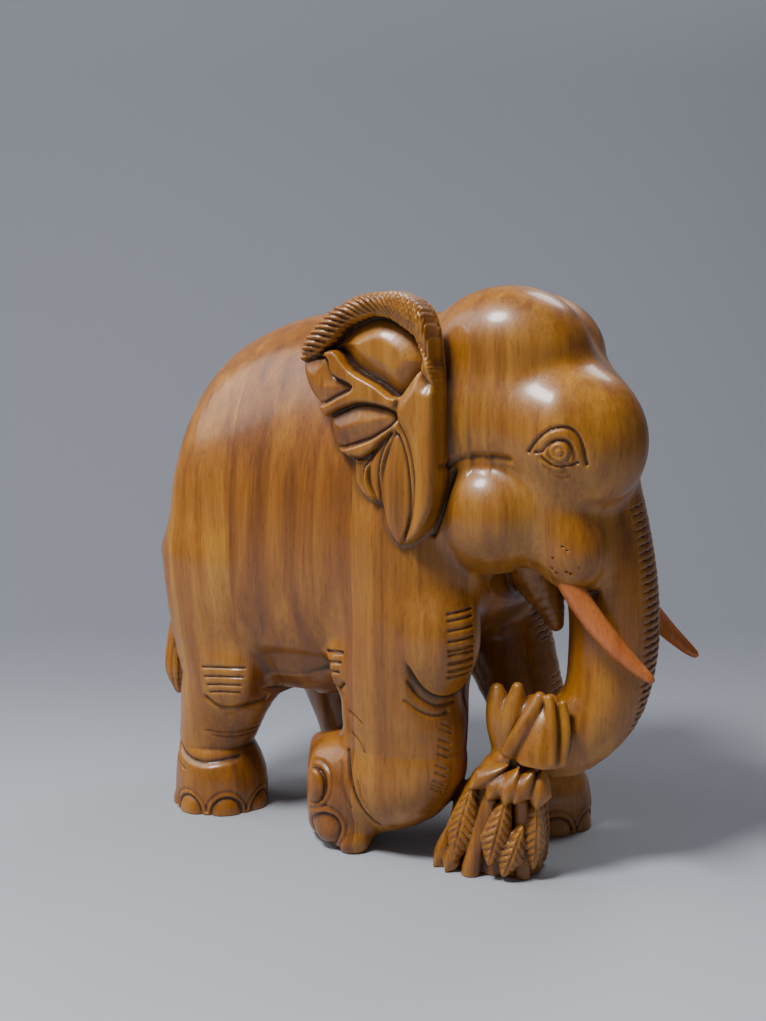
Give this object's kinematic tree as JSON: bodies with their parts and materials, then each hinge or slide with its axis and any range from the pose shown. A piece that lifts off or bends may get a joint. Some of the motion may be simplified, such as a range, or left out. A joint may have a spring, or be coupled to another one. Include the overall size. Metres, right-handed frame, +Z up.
{
  "type": "carved wooden elephant",
  "caption": "Walking elephant carved from a glued hardwood block, with a lifted foreleg, a spray of leaves in its trunk and set-in tusks.",
  "frame": {"origin": "middle of the carving's box, on the floor it stands on", "axes": "+X the way the elephant walks, +Y its left, +Z up"},
  "size_m": [0.2952, 0.15, 0.2876],
  "materials": {
    "wood_mid": "varnished, semi-gloss",
    "wood_dark": "varnished, semi-gloss",
    "wood_pale": "varnished, semi-gloss",
    "wood_face": "varnished, semi-gloss",
    "tusk_wood": "varnished, semi-gloss, redder"
  },
  "bodies": {
    "root": {"tail_board": "wood_mid", "belly_board": "wood_dark", "shoulder_board": "wood_pale", "face_board": "wood_face", "right_tusk": "tusk_wood", "left_tusk": "tusk_wood"}
  },
  "joints": []
}
